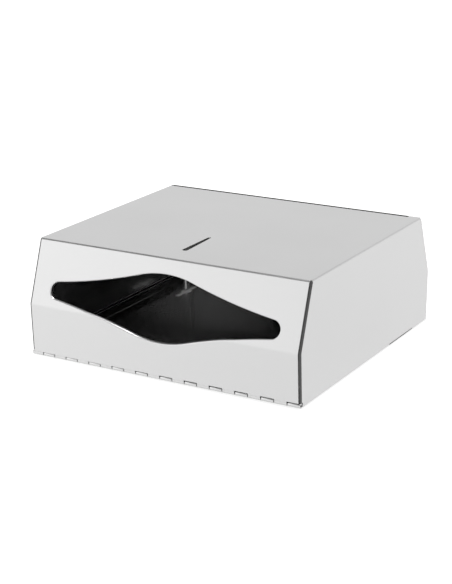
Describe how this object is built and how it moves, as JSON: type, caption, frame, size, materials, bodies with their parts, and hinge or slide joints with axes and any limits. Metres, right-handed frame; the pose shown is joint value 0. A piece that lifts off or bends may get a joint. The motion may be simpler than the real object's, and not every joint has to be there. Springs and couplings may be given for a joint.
{
  "type": "napkin dispenser",
  "caption": "Sheet-metal folded napkin dispenser with a wave-shaped mouth, a hinged lockable cover on a back plate with keyholes, and a sight slot in the top.",
  "frame": {"origin": "centre of the footprint on the underside of the back plate, which is the face that goes against the wall or counter", "axes": "+Z out of the back plate, +X along the hinge to the right seen from the mouth, -Y towards the mouth face"},
  "size_m": [0.2794, 0.2694, 0.107],
  "materials": {
    "satin_stainless": "satin",
    "plain_stainless": "mill finish",
    "nickel_plate": "bright nickel",
    "zinc_plate": "dull zinc plate"
  },
  "bodies": {
    "base": {"base_plate": "plain_stainless", "hinge_leaf_base": "satin_stainless", "hinge_pin": "plain_stainless", "strike": "plain_stainless", "strike_rivet_front": "zinc_plate", "strike_rivet_rear": "zinc_plate"},
    "cover": {"cover_shell": "satin_stainless", "hinge_leaf_cover": "satin_stainless", "lock_housing": "nickel_plate", "lock_nut": "zinc_plate", "lock_washer": "zinc_plate", "lock_plate": "zinc_plate"},
    "lock_core": {"lock_plug": "nickel_plate", "lock_cam": "zinc_plate", "cam_washer": "zinc_plate", "cam_screw": "zinc_plate"}
  },
  "joints": [
    {"name": "cover_hinge", "type": "hinge", "parent": "base", "child": "cover", "pos_m": [0, -0.131, 0.002], "axis": [1, 0, 0], "range_deg": [0, 85]},
    {"name": "lock_turn", "type": "hinge", "parent": "cover", "child": "lock_core", "pos_m": [0, 0.13379, 0.026], "axis": [0, 0.9995, -0.0305], "range_deg": [0, 90]}
  ]
}
